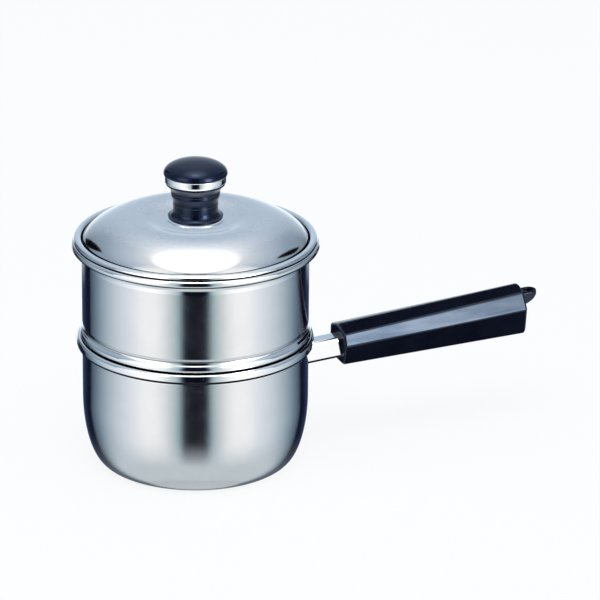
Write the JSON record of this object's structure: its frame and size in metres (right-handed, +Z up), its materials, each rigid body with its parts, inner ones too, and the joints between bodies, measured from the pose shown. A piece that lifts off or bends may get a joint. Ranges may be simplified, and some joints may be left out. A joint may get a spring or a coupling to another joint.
{
  "type": "steamer pot",
  "caption": "Stainless saucepan with a side handle, carrying a perforated steamer tier and a domed lid with a knob, for steaming food over boiling water.",
  "frame": {"origin": "centre of the pot's flat underside", "axes": "+Z up along the pot's axis, +X along the handle away from the pot"},
  "size_m": [0.309, 0.1538, 0.1967],
  "materials": {
    "satin_steel": "satin stainless steel, finely brushed round the axis",
    "polished_steel": "mirror-polished stainless steel",
    "plain_steel": "plain steel",
    "phenolic": "glossy black phenolic",
    "brass": "turned brass"
  },
  "bodies": {
    "pot": {"pot_body": "satin_steel", "handle_ferrule": "polished_steel", "handle_bracket": "plain_steel", "handle_grip": "phenolic", "handle_screw": "plain_steel", "handle_lock_washer": "plain_steel"},
    "steamer": {"steamer_body": "satin_steel"},
    "lid": {"lid_shell": "satin_steel", "knob_seat": "polished_steel", "knob_stem": "phenolic", "knob_band": "polished_steel", "knob_cap": "phenolic", "knob_insert": "brass", "knob_screw": "plain_steel", "knob_lock_washer": "plain_steel"}
  },
  "joints": [
    {"name": "steamer_lift", "type": "slide", "parent": "pot", "child": "steamer", "axis": [0, 0, 1], "range_m": [0, 0.12]},
    {"name": "lid_lift", "type": "slide", "parent": "steamer", "child": "lid", "axis": [0, 0, 1], "range_m": [0, 0.1]}
  ]
}
